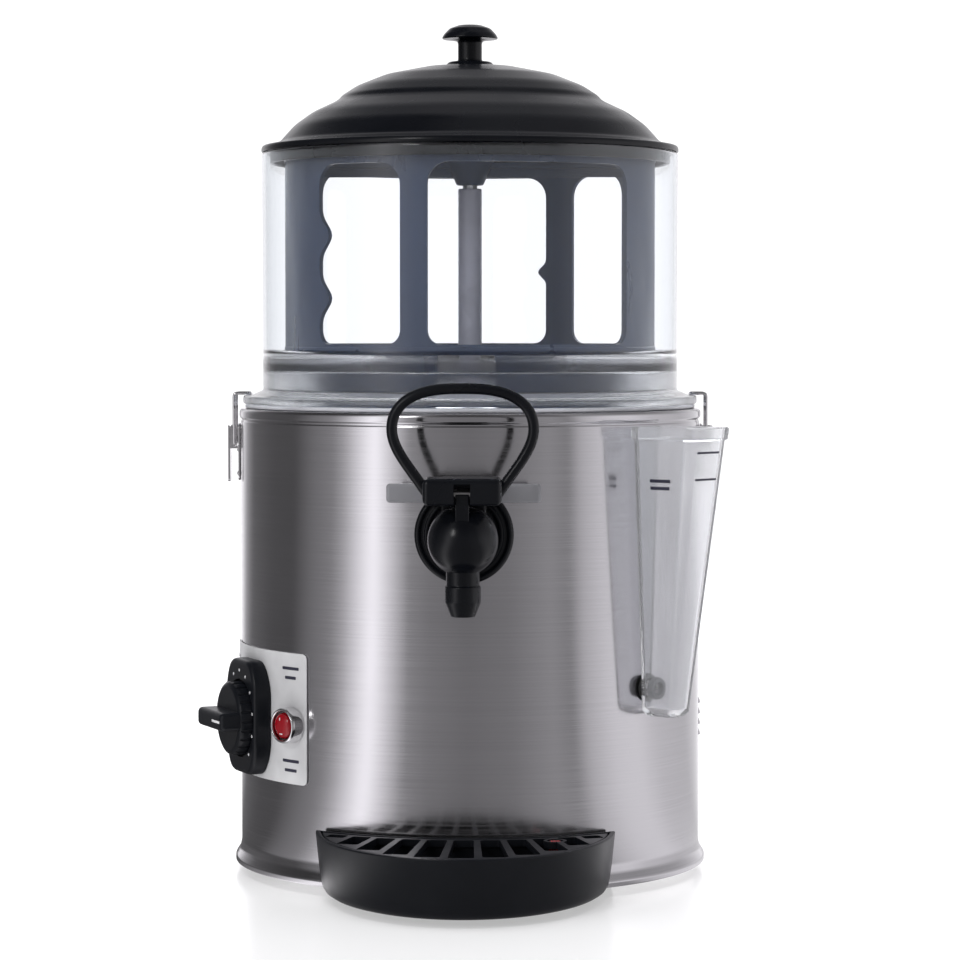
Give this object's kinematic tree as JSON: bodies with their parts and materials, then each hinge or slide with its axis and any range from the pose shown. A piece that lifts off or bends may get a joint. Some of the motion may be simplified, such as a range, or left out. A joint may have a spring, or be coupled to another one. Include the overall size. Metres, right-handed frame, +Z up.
{
  "type": "hot sauce dispenser",
  "caption": "Countertop bain-marie dispenser for hot cheese sauce or chocolate: steel body, clear bowl with stirrer, pull tap, water filler and drip tray.",
  "frame": {"origin": "on the vessel's axis at table level, under the bottom cover", "axes": "+Z up; the tap and the drip tray face -Y; +X is the user's right"},
  "size_m": [0.3129, 0.374, 0.5145],
  "materials": {
    "brushed_shell": "vertically brushed stainless sheet, satin",
    "plain_steel": "plain stainless",
    "brass": "plain",
    "black_plastic": "moulded, half gloss",
    "grey_plastic": "moulded, satin",
    "clear_plastic": "clear polycarbonate, polished",
    "smoky_plastic": "smoke-tinted translucent moulding",
    "milky_plastic": "translucent, satin",
    "silicone": "matt",
    "rubber": "matt",
    "label": "printed sheet, satin",
    "red_plastic": "translucent red moulding",
    "wire_sheath": "silicone sheath"
  },
  "bodies": {
    "dispenser": {"outer_shell": "brushed_shell", "base_pan": "plain_steel", "bottom_cover": "black_plastic", "foot_1": "rubber", "foot_2": "rubber", "foot_3": "rubber", "foot_4": "rubber", "water_jacket": "plain_steel", "product_tank": "plain_steel", "heater_ring": "plain_steel", "bowl_gasket": "silicone", "bowl": "clear_plastic", "gearmotor": "plain_steel", "gearbox": "grey_plastic", "motor_bracket": "plain_steel", "shaft_seal": "rubber", "centre_column": "milky_plastic", "thermostat_body": "grey_plastic", "thermostat_bulb": "brass", "safety_cutout": "grey_plastic", "terminal_block": "grey_plastic", "heater_lead": "wire_sheath", "motor_lead": "wire_sheath", "cable_inlet": "black_plastic", "control_plate": "label", "thermostat_housing": "black_plastic", "switch_bezel_front": "plain_steel", "switch_bezel_rear": "plain_steel", "tap_body": "black_plastic", "tap_escutcheon": "black_plastic", "tap_gasket": "rubber", "tap_bonnet": "grey_plastic", "tap_spring": "plain_steel", "water_filler": "milky_plastic", "filler_pipe": "plain_steel", "drain_pipe": "plain_steel", "latch_plate_left": "plain_steel", "latch_plate_right": "plain_steel"},
    "lid": {"lid": "black_plastic", "lid_knob": "black_plastic", "lid_screw": "plain_steel"},
    "stirrer": {"mixer": "smoky_plastic", "drive_shaft": "plain_steel", "shaft_coupling": "brass"},
    "tap_lever": {"tap_handle": "black_plastic", "handle_pin": "plain_steel"},
    "plunger": {"tap_plunger": "grey_plastic", "plunger_seal": "rubber"},
    "lock_bar": {"tap_lock_bar": "grey_plastic"},
    "lever_right": {"latch_lever_right": "plain_steel"},
    "bail_right": {"latch_bail_right": "plain_steel"},
    "lever_left": {"latch_lever_left": "plain_steel"},
    "bail_left": {"latch_bail_left": "plain_steel"},
    "dial": {"thermostat_knob": "black_plastic"},
    "rocker_front": {"switch_rocker_front": "red_plastic"},
    "rocker_rear": {"switch_rocker_rear": "red_plastic"},
    "tray": {"drip_tray": "black_plastic"},
    "grid": {"drip_grid": "black_plastic"},
    "float": {"tray_float": "red_plastic"},
    "drain_cap": {"drain_cap": "rubber"}
  },
  "joints": [
    {"name": "lid_lift", "type": "slide", "parent": "dispenser", "child": "lid", "axis": [0, 0, 1], "range_m": [0, 0.15]},
    {"name": "stirrer_spin", "type": "hinge", "parent": "dispenser", "child": "stirrer", "pos_m": [0, 0, 0.3], "axis": [0, 0, 1], "continuous": true},
    {"name": "tap_handle_pull", "type": "hinge", "parent": "dispenser", "child": "tap_lever", "pos_m": [0, -0.181, 0.2375], "axis": [1, 0, 0], "range_deg": [0, 55], "stiffness_Nm_per_rad": 0.25, "springref_deg": -17.19},
    {"name": "tap_plunger_lift", "type": "slide", "parent": "dispenser", "child": "plunger", "axis": [0, 0, 1], "range_m": [0, 0.0062], "deforming": ["tap_spring"]},
    {"name": "tap_lock_bar_slide", "type": "slide", "parent": "dispenser", "child": "lock_bar", "axis": [-1, 0, 0], "range_m": [0, 0.06]},
    {"name": "latch_lever_right_open", "type": "hinge", "parent": "dispenser", "child": "lever_right", "pos_m": [0.144, 0, 0.269], "axis": [0, -1, 0], "range_deg": [0, 90]},
    {"name": "latch_bail_right_swing", "type": "hinge", "parent": "lever_right", "child": "bail_right", "pos_m": [0.144, 0, 0.259], "axis": [0, -1, 0], "range_deg": [-90, 0]},
    {"name": "latch_lever_left_open", "type": "hinge", "parent": "dispenser", "child": "lever_left", "pos_m": [-0.144, 0, 0.269], "axis": [0, 1, 0], "range_deg": [0, 90]},
    {"name": "latch_bail_left_swing", "type": "hinge", "parent": "lever_left", "child": "bail_left", "pos_m": [-0.144, 0, 0.259], "axis": [0, 1, 0], "range_deg": [-90, 0]},
    {"name": "thermostat_turn", "type": "hinge", "parent": "dispenser", "child": "dial", "pos_m": [-0.13413, -0.06255, 0.098], "axis": [0.9063, 0.4226, 0], "range_deg": [0, 270]},
    {"name": "switch_front_rock", "type": "hinge", "parent": "dispenser", "child": "rocker_front", "pos_m": [-0.10502, -0.10142, 0.098], "axis": [-0.6947, 0.7193, 0], "range_deg": [0, 12]},
    {"name": "switch_rear_rock", "type": "hinge", "parent": "dispenser", "child": "rocker_rear", "pos_m": [-0.14458, -0.02032, 0.105], "axis": [-0.1392, 0.9903, 0], "range_deg": [0, 12]},
    {"name": "tray_pull", "type": "slide", "parent": "dispenser", "child": "tray", "axis": [0, -1, 0], "range_m": [0, 0.1]},
    {"name": "grid_lift", "type": "slide", "parent": "tray", "child": "grid", "axis": [0, 0, 1], "range_m": [0, 0.05]},
    {"name": "tray_float_rise", "type": "slide", "parent": "tray", "child": "float", "axis": [0, 0, 1], "range_m": [0, 0.006]},
    {"name": "drain_cap_pull", "type": "slide", "parent": "dispenser", "child": "drain_cap", "axis": [0, 1, 0], "range_m": [0, 0.03]}
  ],
  "couplings": [
    {"joint": "tap_plunger_lift", "follows": "tap_handle_pull", "m_per_rad": 0.00625},
    {"joint": "latch_bail_right_swing", "follows": "latch_lever_right_open", "ratio": -1},
    {"joint": "latch_bail_left_swing", "follows": "latch_lever_left_open", "ratio": -1}
  ]
}
